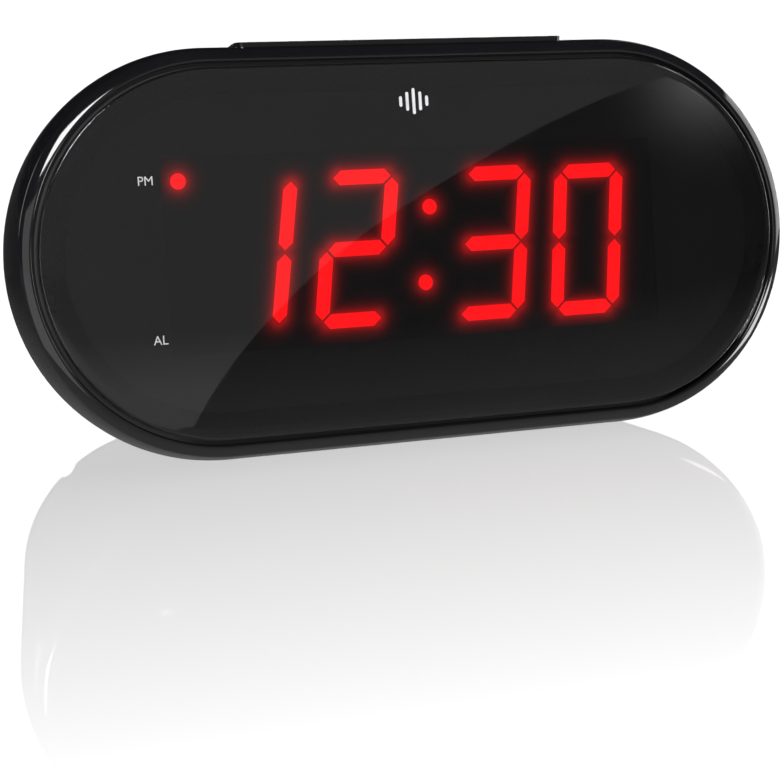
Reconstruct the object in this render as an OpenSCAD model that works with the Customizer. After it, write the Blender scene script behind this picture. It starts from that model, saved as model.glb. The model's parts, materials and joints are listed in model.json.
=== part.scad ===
// Clock radio: a pill-shaped cabinet leaning back on a flat foot, with a smoked lens over a
// four-digit display, a snooze bar, keys, thumbwheels, slide switches, a speaker and a battery box.
// The face frame has x across, y into the cabinet and z up the face, from the middle of the lens.

/* [Face] */
// Height of the lens
lens_h = 69.3; // [68:0.1:71]
// Width of the lens
lens_w = 152.6; // [150:0.1:156]
// Thickness of the lens
lens_t = 2.5; // [2:0.1:2.7]
// Angle that the face leans back, in degrees
lean = 10; // [9:0.5:11]

/* [Rim] */
// How far the widest line of the rim stands outside the lens edge
rim_out = 4.35; // [4.2:0.05:4.6]
// Depth of the widest line of the rim behind the lens front
rim_depth = 8.7; // [8.4:0.1:9]
// Radius of the rim's crowned flank
crown_r = 24.7; // [24:0.1:26]
// Radius of the bead round the lens
bead_r = 1.2; // [1.1:0.05:1.3]
// Depth of the bead's centre behind the lens front
bead_depth = 2.2; // [2:0.1:2.4]
// Depth at which the front and rear shells meet
parting = 12; // [11.8:0.1:12.4]

/* [Housing] */
// Depth of the back panel behind the lens front
back_depth = 60; // [59:0.5:62]
// Angle at which the rear shell narrows, in degrees
taper = 13; // [12.5:0.5:13.5]
// Radius of the rear shell's back edge
back_round = 8; // [7:0.5:8]
// Thickness of the shell walls
wall = 2.2; // [2:0.1:2.4]
// Height of the rim's lowest line above the surface
rim_clear = 1; // [0.9:0.1:1.4]
// How far the rubber feet stand below the base
foot_out = 0.7; // [0.6:0.1:0.8]

/* [Display] */
// Height of a digit
digit_h = 30; // [29:0.5:30]
// Width of a digit
digit_w = 15.2; // [14.6:0.1:15.4]
// Width of one lit bar
bar_w = 2.7; // [2.5:0.1:2.8]
// Slant of the digits, in degrees
slant = 7; // [5:0.5:8]
// Width of the window behind the lens
window_w = 100.4; // [100:0.1:101]
// Height of the window behind the lens
window_h = 37; // [36.5:0.1:37.5]

/* [Controls] */
// Length of the snooze bar
snooze_w = 68.4; // [66:0.1:70]
// Depth of the snooze bar, front to back
snooze_d = 12.8; // [12.5:0.1:13]
// How far the snooze bar stands above the flank
snooze_out = 0.9; // [0.85:0.05:1]
// Spacing of the keys behind the snooze bar
key_pitch = 14; // [13:0.5:14]
// Radius of the thumbwheels
wheel_r = 9; // [8.8:0.1:9]
// Slope of the thumbwheels' places round the right end, in degrees
wheel_angle = 19; // [18.8:0.1:19.2]

/* [Speaker] */
// Radius of the speaker frame
speaker_r = 22; // [21:0.5:22]
// Place of the speaker across the back
speaker_x = -36; // [-37:0.5:-35]

/* [Hidden] */
$fn = 96;
eps = 0.01;
far = 200;
lens_r = lens_h / 2;
flat_half = lens_w / 2 - lens_r;
lens_chamfer = 0.4;
glue_t = 0.25;
plate_front = lens_t + glue_t;
plate_back = plate_front + 1.6;
crown_c = [lens_r + rim_out - crown_r, rim_depth];
bead_reach = crown_r - bead_r;
bead_c = [crown_c.x + sqrt(pow(bead_reach, 2) - pow(rim_depth - bead_depth, 2)), bead_depth];
rim_inner_r = lens_r + 1.9;
tongue_r = rim_inner_r - 0.2;
tongue_t = 1.3;
tongue_front = parting - 3;
tongue_root = 2;
taper_n = [cos(taper), sin(taper)];
back_c_y = back_depth - back_round;
back_c = [(crown_c * taper_n + crown_r - back_round - back_c_y * sin(taper)) / cos(taper), back_c_y];
// The lowest point of the rim below the middle of the lens, once the face leans back
rim_low = crown_c * [cos(lean), sin(lean)] + crown_r;
lens_z = rim_low + rim_clear;
front_y = -(lens_r - lens_chamfer) * sin(lean);
rear_y = back_c.y * cos(lean) + back_c.x * sin(lean) + back_round;
mid_y = (front_y + rear_y) / 2;
// The foot of the cabinet, in the upright frame with its origin at the middle of the lens
base_z = foot_out - lens_z;
base_w = 104;
base_y = [8, 46];
base_corner = 8;
base_floor = 4;
// Screw towers that join the two shells
tower_x = 60;
tower_z = 20;
tower_r = 3.5;
tower_meet = 14;
shell_screw_seat = 26;
// Display
module_front = 3.3;
module_t = 8.2;
module_back = module_front + module_t;
window_x = -0.5;
digit_x = [-34.7, -14.9, 14.7, 35.6];
digit_lit = [[1, 2], [0, 1, 3, 4, 6], [0, 1, 2, 3, 6], [0, 1, 2, 3, 4, 5]];
bar_gap = 0.18;
bar_t = 1.8;
colon_y = 7.3;
dot_r = 1.5;
lamp_at = [[-48.6, 14], [-48.2, -14.6]];
board_t = 1.6;
display_board_back = module_back + board_t;
// Controls
snooze_front = 6.65;
gap = 0.3;
snooze_corner = 1.5;
snooze_hole_z = 34.7;
snooze_flange = [33.1, 1.4];
snooze_switch_y = 17.7;
key_flange = [30.9, 1.2];
key_y = 26;
key_size = [11, 6.6];
key_out = 0.8;
key_board_z = 23;
key_board_y = [14.6, 31];
switch_size = [6, 6, 3.5];
plunger_r = 1.6;
plunger_h = 0.9;
plunger_top = key_board_z + switch_size.z + plunger_h;
press = 0.5;
snooze_press = 0.8;
// Boards and thumbwheels
main_board_y = 32;
main_board_r = 29.5;
main_board_cut = -18;
wheel_t = 4;
wheel_y = 24;
wheel_out = 1.8;
wheel_bite = 0.7;
shaft_r = 3;
shaft_play = 0.05;
pot_r = 8;
control_r = 31.4;
pot_t = 3.6;
outer_r_at_wheel = crown_c * taper_n / cos(taper) + crown_r / cos(taper) - wheel_y * tan(taper);
wheel_c_r = outer_r_at_wheel + wheel_out - wheel_r;
volume_at = [flat_half + wheel_c_r * cos(wheel_angle), wheel_c_r * sin(wheel_angle)];
tuning_at = [volume_at.x, -volume_at.y];
// Back panel
panel_in = back_depth - wall;
slider_x = [2, 26];
slider_z = 9;
slider_travel = 3;
slider_size = [5, 3.2];
switch_body = [18, 6, 7];
jack_x = 50;
jack_z = -9;
jack_r = 3;
jack_len = 10;
jack_pin_r = 1;
back_board_y = 45;
// Speaker
speaker_front = panel_in - 0.6;
cone_r = 18;
surround_r = 20.4;
magnet_r = 13;
grille_hole_r = 0.9;
grille_pitch = 3.2;
// Battery box, in the upright frame
cell_box = [50, 24, 12.6];
cell_wall = 1.4;
cell_at = [9, 27];
door_w = 54;
door_t = 0.8;
door_front = 12;
door_tongue = 1.5;
door_play = 0.2;
// Aerial
ferrite_at = [-36, 23, -11];
ferrite_r = 4;
ferrite_len = 40;

// ---- frames and shared shapes ----

// From the upright frame at the middle of the lens to the model's own frame
module upright() {
  translate([0, -mid_y, lens_z]) children();
}

// From the face frame to the model's own frame
module face() {
  upright() rotate([-lean, 0, 0]) children();
}

// Stands a flat outline (x across, y up the face) at depth y0, going t deeper
module slab(y0, t) {
  translate([0, y0 + t, 0]) rotate([90, 0, 0]) linear_extrude(t) children();
}

// A round bar along the face frame's y axis
module rod(r, y0, y1) {
  translate([0, y1, 0]) rotate([90, 0, 0]) cylinder(r = r, h = y1 - y0);
}

module pill(r, half = flat_half) {
  for (s = [-1, 1]) translate([s * half, 0]) circle(r);
  square([2 * half, 2 * r], center = true);
}

module round_rect(size, r) {
  square([size.x, size.y - 2 * r], center = true);
  square([size.x - 2 * r, size.y], center = true);
  for (sx = [-1, 1], sy = [-1, 1])
    translate([sx * (size.x / 2 - r), sy * (size.y / 2 - r)]) circle(r);
}

// Sweeps a section (x = distance out from the long axis, y = depth) round the pill
module pill_sweep() {
  rotate([-90, 0, 0]) {
    for (m = [0, 1]) mirror([m, 0, 0]) translate([flat_half, 0, 0])
      rotate_extrude(angle = 180, start = -90) children();
    for (m = [0, 1]) mirror([0, m, 0]) translate([-flat_half, 0, 0])
      rotate([90, 0, 90]) linear_extrude(2 * flat_half) children();
  }
}

// Half section of the cabinet behind y0, inset from the outer skin
module cabinet_section(inset, y0) {
  tangent = crown_c + (crown_r - inset) * taper_n;
  corner = back_c + (back_round - inset) * taper_n;
  back = back_depth - inset;
  intersection() {
    translate(crown_c) circle(crown_r - inset);
    translate([0, y0]) square([far, tangent.y - y0]);
  }
  polygon([[0, tangent.y], tangent, corner, [back_c.x, back], [0, back]]);
  intersection() {
    translate(back_c) circle(back_round - inset);
    translate([back_c.x, back_c.y]) square(back_round);
  }
}

module at_towers() {
  for (sx = [-1, 1], sz = [-1, 1]) translate([sx * tower_x, 0, sz * tower_z]) children();
}

// ---- front ----

module front_bezel() color("#0d0d0f") face() difference() {
  union() {
    pill_sweep() {
      translate(bead_c) circle(bead_r);
      intersection() {
        translate(crown_c) circle(crown_r);
        translate([bead_c.x - bead_r, bead_depth]) square([far, parting - bead_depth]);
      }
    }
    slab(plate_front, plate_back - plate_front) pill(rim_inner_r);
    at_towers() rod(tower_r, plate_back - eps, tower_meet);
  }
  slab(plate_back, far) difference() {
    pill(rim_inner_r);
    for (sx = [-1, 1], sz = [-1, 1]) translate([sx * tower_x, sz * tower_z]) circle(tower_r);
  }
  slab(0, plate_back + eps) translate([window_x, 0]) square([window_w, window_h], center = true);
  at_towers() rod(1.2, plate_back + 1.5, far);
  snooze_hole();
}

module lens() color("#1b1c20") face() {
  slab(lens_chamfer, lens_t - lens_chamfer) pill(lens_r);
  pill_sweep() polygon([[0, 0], [lens_r - lens_chamfer, 0], [lens_r, lens_chamfer],
    [0, lens_chamfer]]);
}

module lens_adhesive_ring() color("#2a2a2a") face() slab(lens_t, glue_t) difference() {
  pill(lens_r - 0.8);
  pill(lens_r - 5);
}

// ---- display ----

function lean_over(p) = [p.x + p.y * tan(slant), p.y];

// The outline of one pointed bar from p to q
function bar_outline(p, q) =
  let (d = (q - p) / norm(q - p), n = [-d.y, d.x] * bar_w / 2, a = d * bar_gap, b = d * bar_w / 2)
  [p + a, p + a + b + n, q - a - b + n, q - a, q - a - b - n, p + a + b - n];

// The two ends of bar i, counted clockwise from the top, with the middle one last
function bar_ends(i) =
  let (u = (digit_w - bar_w) / 2, v = (digit_h - bar_w) / 2)
  [[[-u, v], [u, v]], [[u, v], [u, 0]], [[u, 0], [u, -v]], [[-u, -v], [u, -v]],
   [[-u, 0], [-u, -v]], [[-u, v], [-u, 0]], [[-u, 0], [u, 0]]][i];

module bar(digit, i) {
  ends = bar_ends(i);
  translate([digit_x[digit], 0])
    polygon([for (p = bar_outline(ends[0], ends[1])) lean_over(p)]);
}

module bars(lit) {
  for (digit = [0:3], i = [0:6])
    if (lit == (len(search(i, digit_lit[digit])) > 0)) bar(digit, i);
}

module colon() {
  for (s = [-1, 1]) translate(lean_over([0.6, s * colon_y])) circle(dot_r);
}

module display_housing() color("#101012") face() difference() {
  slab(module_front, module_t) translate([window_x, 0])
    square([window_w + 3, window_h + 3], center = true);
  slab(0, plate_back) difference() {
    square([far, far], center = true);
    translate([window_x, 0]) square([window_w - 0.4, window_h - 0.4], center = true);
  }
  slab(module_front - eps, bar_t + eps) {
    bars(true);
    bars(false);
    colon();
    for (p = lamp_at) translate(p) circle(dot_r);
  }
}

module lit_segments() color("#f0281e") face() slab(module_front, bar_t) bars(true);

module unlit_segments() color("#2a1414") face() slab(module_front, bar_t) bars(false);

module colon_dots() color("#f0281e") face() slab(module_front, bar_t) colon();

module lamp(i) {
  face() slab(module_front, bar_t) translate(lamp_at[i]) circle(dot_r);
}

module pm_lamp() color("#f0281e") lamp(0);

module alarm_lamp() color("#2a1414") lamp(1);

module display_screw_places() {
  for (sx = [-1, 1], sz = [-1, 1]) translate([sx * 54, 0, sz * 12]) children();
}

module display_board() color("#1f4f2e") face() difference() {
  slab(module_back, board_t) square([114, 32], center = true);
  display_screw_places() rod(1.3, 0, far);
}

module display_screws() color("#8c8c90") face() display_screw_places() {
  rod(2.4, display_board_back, display_board_back + 1.4);
  rod(1.2, plate_back + 0.5, display_board_back + eps);
}

// ---- shells and feet ----

module snooze_block(grow, z0) {
  translate([0, snooze_front + snooze_d / 2, z0]) linear_extrude(far)
    round_rect([snooze_w + 2 * grow, snooze_d + 2 * grow], snooze_corner + grow);
}

module snooze_hole() {
  snooze_block(gap, snooze_hole_z);
}

module key_block(x, grow, z0) {
  translate([x, key_y, z0]) linear_extrude(far)
    round_rect([key_size.x + 2 * grow, key_size.y + 2 * grow], 1.2 + grow);
}

module base_pad(inset, z0, h) {
  translate([0, (base_y[0] + base_y[1]) / 2, z0]) linear_extrude(h)
    round_rect([base_w - 2 * inset, base_y[1] - base_y[0] - 2 * inset], base_corner - inset);
}

module foot_places() {
  for (sx = [-1, 1], y = [base_y[0] + 7, base_y[1] - 7])
    translate([sx * (base_w / 2 - 8), y, base_z]) children();
}

module door_slot() {
  slot_d = far;
  translate([cell_at.x - door_w / 2 - door_play, door_front - door_play, base_z - eps])
    cube([door_w + 2 * door_play, slot_d, door_t]);
  translate([cell_at.x - door_w / 2 - door_tongue - door_play, door_front - door_play,
    base_z + door_t - door_play]) cube([door_w + 2 * (door_tongue + door_play), slot_d, door_t + 2 * door_play]);
}

module grille() {
  n = floor(cone_r / grille_pitch);
  for (i = [-n:n], j = [-n:n])
    if (norm([i, j]) * grille_pitch < cone_r - grille_hole_r)
      translate([i, j] * grille_pitch) circle(grille_hole_r);
}

module rear_skin() {
  difference() {
    union() {
      face() pill_sweep() cabinet_section(0, parting);
      upright() base_pad(0, base_z, base_floor + 4);
    }
    face() pill_sweep() cabinet_section(wall, parting - eps);
  }
}

// The lip that the front shell slides over, and the step that carries it
module tongue() {
  slab(tongue_front, parting + tongue_root - tongue_front) difference() {
    pill(tongue_r);
    pill(tongue_r - tongue_t);
  }
  slab(parting, tongue_root) difference() {
    pill(rim_inner_r + 0.6);
    pill(tongue_r - tongue_t);
  }
}

module rear_housing() color("#131315") difference() {
  union() {
    rear_skin();
    face() tongue();
    intersection() {
      face() at_towers() rod(tower_r, tower_meet, back_depth);
      face() pill_sweep() cabinet_section(wall / 2, parting);
    }
  }
  face() {
    at_towers() {
      rod(1.7, 0, far);
      rod(2.7, shell_screw_seat, far);
    }
    snooze_hole();
    for (i = [-2:2]) key_block(i * key_pitch, gap, 30);
    for (p = [volume_at, tuning_at]) translate([p.x, 0, p.y])
      rod(wheel_r + wheel_bite, wheel_y - wheel_t / 2 - gap, wheel_y + wheel_t / 2 + gap);
    for (x = slider_x) translate([x, 0, slider_z])
      slab(panel_in - 1, far) square([slider_size.x + 2 * slider_travel + 0.8, slider_size.y + 0.6],
        center = true);
    translate([jack_x, 0, jack_z]) rod(jack_r + 1.4, panel_in - 1, far);
    translate([speaker_x, 0, 0]) slab(panel_in - 1, far) grille();
  }
  upright() {
    door_slot();
    translate([cell_at.x - cell_box.x / 2 - 0.2, cell_at.y - cell_box.y / 2 - 0.2, base_z])
      cube([cell_box.x + 0.4, cell_box.y + 0.4, 20]);
    foot_places() cylinder(r = 5.1, h = 1.2);
  }
}

module housing_screws() color("#8c8c90") face() at_towers() {
  rod(2.5, shell_screw_seat, shell_screw_seat + 1.8);
  rod(1.15, plate_back + 3, shell_screw_seat + eps);
}

module rubber_feet() color("#1c1c1c") upright() foot_places()
  translate([0, 0, -foot_out]) {
    translate([0, 0, 0.5]) cylinder(r = 5, h = foot_out + 0.7);
    cylinder(r1 = 4.5, r2 = 5, h = 0.5);
  }

// ---- snooze bar and keys ----

// The cabinet's skin grown outward over its straight top, between two ends
module top_skin(out, half_w) {
  translate([-half_w, 0, 0]) rotate([90, 0, 90]) linear_extrude(2 * half_w)
    intersection() {
      union() {
        translate([crown_c.y, crown_c.x]) circle(crown_r + out);
        translate([crown_c.y, crown_c.x]) rotate(-taper) square([far / 2, crown_r + out]);
      }
      square([50, 60]);
    }
}

module snooze_bar() color("#101012") face() {
  intersection() {
    snooze_block(0, snooze_flange[0] + eps);
    top_skin(snooze_out, snooze_w / 2);
  }
  translate([0, snooze_front + snooze_d / 2, snooze_flange[0]]) linear_extrude(snooze_flange[1])
    round_rect([snooze_w + 2, snooze_d + 1.6], snooze_corner + 0.5);
  translate([0, snooze_switch_y, plunger_top + snooze_press + 0.1])
    cylinder(r = 2, h = snooze_flange[0] - plunger_top - snooze_press);
}

module key(i) {
  color("#1a1a1d") face() {
    intersection() {
      key_block(i * key_pitch, 0, key_flange[0] + eps);
      top_skin(key_out, 40);
    }
    translate([i * key_pitch, key_y, key_flange[0]]) linear_extrude(key_flange[1])
      round_rect([key_size.x + 2, key_size.y + 1.8], 1.6);
    translate([i * key_pitch, key_y, plunger_top + press + 0.1])
      cylinder(r = 1.4, h = key_flange[0] - plunger_top - press);
  }
}

module hour_key() key(-2);

module minute_key() key(-1);

module time_key() key(0);

module alarm_key() key(1);

module sleep_key() key(2);

module key_board() color("#1f4f2e") face()
  translate([-40, key_board_y[0], key_board_z - board_t])
    cube([80, key_board_y[1] - key_board_y[0], board_t]);

module tact_switch(x, y) {
  translate([x - switch_size.x / 2, y - switch_size.y / 2, key_board_z]) cube(switch_size);
  translate([x, y, key_board_z]) cylinder(r = plunger_r, h = switch_size.z + plunger_h);
}

module key_switches() color("#3a3a3e") face() for (i = [-2:2]) tact_switch(i * key_pitch, key_y);

module snooze_switch() color("#3a3a3e") face() tact_switch(0, snooze_switch_y);

// ---- main board and thumbwheels ----

module main_board() color("#2c6b3a") face() slab(main_board_y, board_t) difference() {
  intersection() {
    pill(main_board_r);
    translate([-far / 2, main_board_cut]) square([far, far]);
  }
  for (sx = [-1, 1]) translate([sx * tower_x, tower_z]) circle(tower_r + 0.5);
  for (sx = [-1, 1]) translate([sx * tower_x, -tower_z]) circle(tower_r + 0.5);
}

module chip(x, z, w, h) {
  face() translate([x - w / 2, main_board_y + board_t, z - h / 2]) {
    cube([w, 3, h]);
    for (i = [1:floor(w / 2.54) - 1], e = [-0.8, h])
      translate([i * 2.54 - 0.25, 0.8, e]) cube([0.5, 0.3, 0.8]);
  }
}

module clock_chip() color("#18181a") chip(-8, 8, 36, 12);

module tuner_chip() color("#18181a") chip(30, 16, 22, 7);

module amplifier_chip() color("#18181a") chip(20, -6, 11, 7);

module capacitors() color("#20304a") face()
  for (c = [[40, 2, 4], [50, -4, 3], [6, -8, 2.5], [-46, 22, 3.2], [-34, 22, 2.5], [34, -10, 2.5]])
    translate([c.x, 0, c.y]) rod(c.z, main_board_y + board_t, main_board_y + board_t + 8);

module coil_cans() color("#b8b8bc") face() for (x = [45.5, 54, 62.5])
  translate([x - 3.5, main_board_y + board_t, 8]) cube([7, 8, 7]);

// A knurled wheel with a D-free round bore that turns on its control's shaft
module thumbwheel() difference() {
  rod(wheel_r, wheel_y - wheel_t / 2, wheel_y + wheel_t / 2);
  rod(shaft_r + shaft_play, 0, far);
  for (a = [0:9:359]) rotate([0, a, 0]) translate([wheel_r + 0.25, 0, 0]) rod(0.6, 0, far);
}

module volume_wheel() color("#1a1a1d") face() translate([volume_at.x, 0, volume_at.y]) thumbwheel();

module tuning_wheel() color("#1a1a1d") face() translate([tuning_at.x, 0, tuning_at.y]) thumbwheel();

module volume_potentiometer() color("#a08040") face() translate([volume_at.x, 0, volume_at.y]) {
  intersection() {
    rod(pot_r, main_board_y - pot_t, main_board_y);
    translate([-volume_at.x, 0, -volume_at.y]) slab(0, far) pill(control_r);
  }
  rod(shaft_r, wheel_y - wheel_t / 2 - 0.6, main_board_y - pot_t + eps);
}

module tuning_capacitor() color("#d8d8d0") face() translate([tuning_at.x, 0, tuning_at.y]) {
  intersection() {
    translate([-4.5, main_board_y - pot_t, -8]) cube([12, pot_t, 16]);
    translate([-tuning_at.x, 0, -tuning_at.y]) slab(0, far) pill(control_r);
  }
  rod(shaft_r, wheel_y - wheel_t / 2 - 0.6, main_board_y - pot_t + eps);
}

// ---- back panel ----

module slide_knob(x) {
  color("#1a1a1d") face() translate([x, 0, slider_z]) {
    slab(panel_in - 3, wall + 4.2) square(slider_size, center = true);
  }
}

module slide_switch(x) {
  color("#a8a8ac") face() translate([x, 0, slider_z]) difference() {
    translate([-switch_body.x / 2, panel_in - 1.2 - switch_body.y, -switch_body.z / 2])
      cube([switch_body.x, switch_body.y, switch_body.z]);
    slab(panel_in - 3.2, far) square([slider_size.x + 2 * slider_travel + 0.8, slider_size.y + 0.6],
      center = true);
  }
}

module function_slider() slide_knob(slider_x[0]);

module function_switch() slide_switch(slider_x[0]);

module band_slider() slide_knob(slider_x[1]);

module band_switch() slide_switch(slider_x[1]);

module back_board() color("#2c6b3a") face()
  slab(back_board_y, board_t) translate([25, 0]) square([66, 30], center = true);

module dc_jack() color("#161618") face() translate([jack_x, 0, jack_z]) {
  difference() {
    union() {
      translate([-5, panel_in - 1.1 - jack_len, -5]) cube([10, jack_len, 10]);
      rod(jack_r + 1.2, panel_in - 1.2, back_depth + 0.2);
    }
    rod(jack_r, back_depth - jack_len, far);
  }
  rod(jack_pin_r, back_depth - jack_len - eps, back_depth - 2);
}

// ---- speaker ----

module at_speaker() {
  face() translate([speaker_x, 0, 0]) children();
}

module speaker_turned() {
  at_speaker() rotate([-90, 0, 0]) rotate_extrude() children();
}

module speaker_frame() color("#77787c") difference() {
  speaker_turned() polygon([[speaker_r, speaker_front], [speaker_r, speaker_front - 1],
    [surround_r - 0.4, speaker_front - 1.4], [11, 46], [11, 45], [6, 45], [6, 46.4],
    [10.2, 46.4], [surround_r - 1.2, speaker_front - 1], [surround_r - 0.6, speaker_front]]);
  at_speaker() for (a = [45:90:359]) rotate([0, a, 0]) translate([15, 48.5, 0])
    rod(2.2, -5, 6);
}

module speaker_magnet() color("#4a4a4e") at_speaker() {
  rod(magnet_r, 39, 43.6);
  rod(10, 43.6 - eps, 45);
  rod(10.5, 37.6, 39 + eps);
}

module speaker_cone() color("#2a2a2c") speaker_turned()
  polygon([[5.4, 48.6], [cone_r, speaker_front - 0.9], [cone_r, speaker_front - 0.5],
    [5.4, 49.2]]);

module speaker_dust_cap() color("#1c1c1e") at_speaker() intersection() {
  translate([0, 45.4, 0]) sphere(r = 7);
  rod(5.4, 49.2, far);
}

module speaker_surround() color("#1a1a1a") speaker_turned()
  polygon([[cone_r, speaker_front - 0.8], [cone_r + 0.6, speaker_front - 0.3],
    [surround_r - 1, speaker_front - 0.2], [surround_r - 1, speaker_front - 0.6],
    [cone_r + 0.5, speaker_front - 0.7]]);

module speaker_screws() color("#8c8c90") at_speaker() for (a = [0, 90, 180, 270])
  rotate([0, a + 45, 0]) translate([speaker_r + 1.2, 0, 0]) rod(1.1, speaker_front - 3, panel_in);

module speaker_cloth() color("#262626") at_speaker()
  rod(speaker_r - 0.5, speaker_front, speaker_front + 0.4);

// ---- battery box and door ----

module battery_box() color("#151517") upright()
  translate([cell_at.x, cell_at.y, base_z + 2.2]) difference() {
    translate([-cell_box.x / 2, -cell_box.y / 2, 0]) cube(cell_box);
    translate([-cell_box.x / 2 + cell_wall, -cell_box.y / 2 + cell_wall, -1])
      cube([cell_box.x - 2 * cell_wall, cell_box.y - 2 * cell_wall, cell_box.z - cell_wall + 1]);
  }

module battery_springs() color("#c8c8cc") upright() for (s = [-1, 1])
  translate([cell_at.x - s * (cell_box.x / 2 - cell_wall), cell_at.y + s * 5.4, base_z + 8.4])
    rotate([0, s * 90, 0]) {
      cylinder(r = 3.8, h = 0.4);
      cylinder(r1 = 3.4, r2 = 1.6, h = 3.4);
    }

module battery_plates() color("#c8c8cc") upright() for (s = [-1, 1])
  translate([cell_at.x + s * (cell_box.x / 2 - cell_wall), cell_at.y + s * 5.4, base_z + 8.4])
    rotate([0, -s * 90, 0]) cylinder(r = 3.6, h = 0.4);

module battery_door() color("#131315") upright() {
  translate([cell_at.x - door_w / 2, door_front, base_z])
    cube([door_w, base_y[1] - door_front, door_t]);
  translate([cell_at.x - door_w / 2 - door_tongue, door_front, base_z + door_t - eps])
    cube([door_w + 2 * door_tongue, base_y[1] - door_front - 4, door_t]);
}

// ---- aerial and wiring ----

module ferrite_rod() color("#303034") face() translate(ferrite_at)
  rotate([0, 90, 0]) cylinder(r = ferrite_r, h = ferrite_len, center = true);

module antenna_coil() color("#b87333") face() translate(ferrite_at)
  rotate([0, 90, 0]) difference() {
    cylinder(r = ferrite_r + 0.9, h = 16, center = true);
    cylinder(r = ferrite_r, h = 17, center = true);
  }

// Two U-shaped holders that stand on the main board and carry the rod
module rod_cradles() color("#e0dccf") face() for (s = [-1, 1])
  translate([ferrite_at.x + s * (ferrite_len / 2 - 4), 0, 0]) difference() {
    translate([-2, ferrite_at.y - 3, ferrite_at.z - ferrite_r - 2])
      cube([4, main_board_y - ferrite_at.y + 3, ferrite_r + 2]);
    translate([0, ferrite_at.y, ferrite_at.z]) rotate([0, 90, 0])
      cylinder(r = ferrite_r, h = 5, center = true);
  }

module ribbon_cable() color("#c9c9cd") face() translate([-12, display_board_back, -14])
  cube([24, main_board_y - display_board_back, 0.8]);

front_bezel();
lens();
lens_adhesive_ring();
display_housing();
lit_segments();
unlit_segments();
colon_dots();
pm_lamp();
alarm_lamp();
display_board();
display_screws();
rear_housing();
housing_screws();
rubber_feet();
snooze_bar();
hour_key();
minute_key();
time_key();
alarm_key();
sleep_key();
key_board();
key_switches();
snooze_switch();
main_board();
clock_chip();
tuner_chip();
amplifier_chip();
capacitors();
coil_cans();
volume_wheel();
volume_potentiometer();
tuning_wheel();
tuning_capacitor();
function_slider();
function_switch();
band_slider();
band_switch();
back_board();
dc_jack();
speaker_frame();
speaker_magnet();
speaker_cone();
speaker_dust_cap();
speaker_surround();
speaker_screws();
speaker_cloth();
battery_box();
battery_springs();
battery_plates();
battery_door();
ferrite_rod();
antenna_coil();
rod_cradles();
ribbon_cable();
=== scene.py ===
import bpy
import bmesh
import json
from math import atan2, cos, exp, pi, radians, sin, sqrt, tan
from mathutils import Matrix, Vector


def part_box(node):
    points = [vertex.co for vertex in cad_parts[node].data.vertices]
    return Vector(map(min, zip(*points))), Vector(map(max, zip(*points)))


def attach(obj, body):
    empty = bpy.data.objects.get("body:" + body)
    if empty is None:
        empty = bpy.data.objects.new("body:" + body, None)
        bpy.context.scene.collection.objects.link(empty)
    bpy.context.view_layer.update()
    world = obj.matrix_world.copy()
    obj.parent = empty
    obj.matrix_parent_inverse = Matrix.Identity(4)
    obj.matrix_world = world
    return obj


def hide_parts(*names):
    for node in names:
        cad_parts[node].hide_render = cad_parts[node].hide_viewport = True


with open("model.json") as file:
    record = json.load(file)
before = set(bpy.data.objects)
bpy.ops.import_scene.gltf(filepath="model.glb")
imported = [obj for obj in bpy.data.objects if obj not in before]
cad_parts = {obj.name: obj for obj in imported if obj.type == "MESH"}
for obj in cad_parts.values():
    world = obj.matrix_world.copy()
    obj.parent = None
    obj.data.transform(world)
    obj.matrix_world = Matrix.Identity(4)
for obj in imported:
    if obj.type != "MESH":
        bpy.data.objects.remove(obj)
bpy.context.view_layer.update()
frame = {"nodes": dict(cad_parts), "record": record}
nodes = frame["nodes"]
mm = 0.001
sharpAngle = radians(35)
weldGap = 0.001 * mm
print("frame loaded with", len(nodes), "nodes")

# The face frame: x across, y into the cabinet, z up the face, from the middle of the lens front
face = {"lean": radians(10), "ringMiddle": 2.625}
ringLow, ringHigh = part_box("lens_adhesive_ring")
turn = Matrix.Rotation(-face["lean"], 4, "X")
lensFront = (ringLow + ringHigh) / 2 - turn @ Vector((0, face["ringMiddle"] * mm, 0))
toFace = Matrix.Translation(lensFront) @ turn @ Matrix.Scale(mm, 4)


def newMaterial(name, colour, roughness, metallic=0.0):
    mat = bpy.data.materials.new(name)
    mat.use_nodes = True
    shader = mat.node_tree.nodes["Principled BSDF"]
    shader.inputs["Base Color"].default_value = (*colour, 1)
    shader.inputs["Roughness"].default_value = roughness
    shader.inputs["Metallic"].default_value = metallic
    return mat, mat.node_tree, shader


def noiseNode(tree, scale, detail=3.0):
    # Object coordinates, so that the grain is the same from every side
    coord = tree.nodes.new("ShaderNodeTexCoord")
    noise = tree.nodes.new("ShaderNodeTexNoise")
    noise.inputs["Scale"].default_value = scale
    noise.inputs["Detail"].default_value = detail
    tree.links.new(coord.outputs["Object"], noise.inputs["Vector"])
    return noise


def rampNode(tree, source, low, high, start=0.35, end=0.65):
    ramp = tree.nodes.new("ShaderNodeMapRange")
    ramp.inputs["From Min"].default_value = start
    ramp.inputs["From Max"].default_value = end
    ramp.inputs["To Min"].default_value = low
    ramp.inputs["To Max"].default_value = high
    tree.links.new(source, ramp.inputs["Value"])
    return ramp.outputs["Result"]


def mathNode(tree, operation, source, number):
    node = tree.nodes.new("ShaderNodeMath")
    node.operation = operation
    node.inputs[1].default_value = number
    tree.links.new(source, node.inputs[0])
    return node.outputs["Value"]


def timesNode(tree, first, second):
    node = tree.nodes.new("ShaderNodeMath")
    node.operation = "MULTIPLY"
    tree.links.new(first, node.inputs[0])
    tree.links.new(second, node.inputs[1])
    return node.outputs["Value"]


def addBump(tree, shader, source, strength, distance):
    bump = tree.nodes.new("ShaderNodeBump")
    bump.inputs["Strength"].default_value = strength
    bump.inputs["Distance"].default_value = distance
    tree.links.new(source, bump.inputs["Height"])
    tree.links.new(bump.outputs["Normal"], shader.inputs["Normal"])


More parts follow.
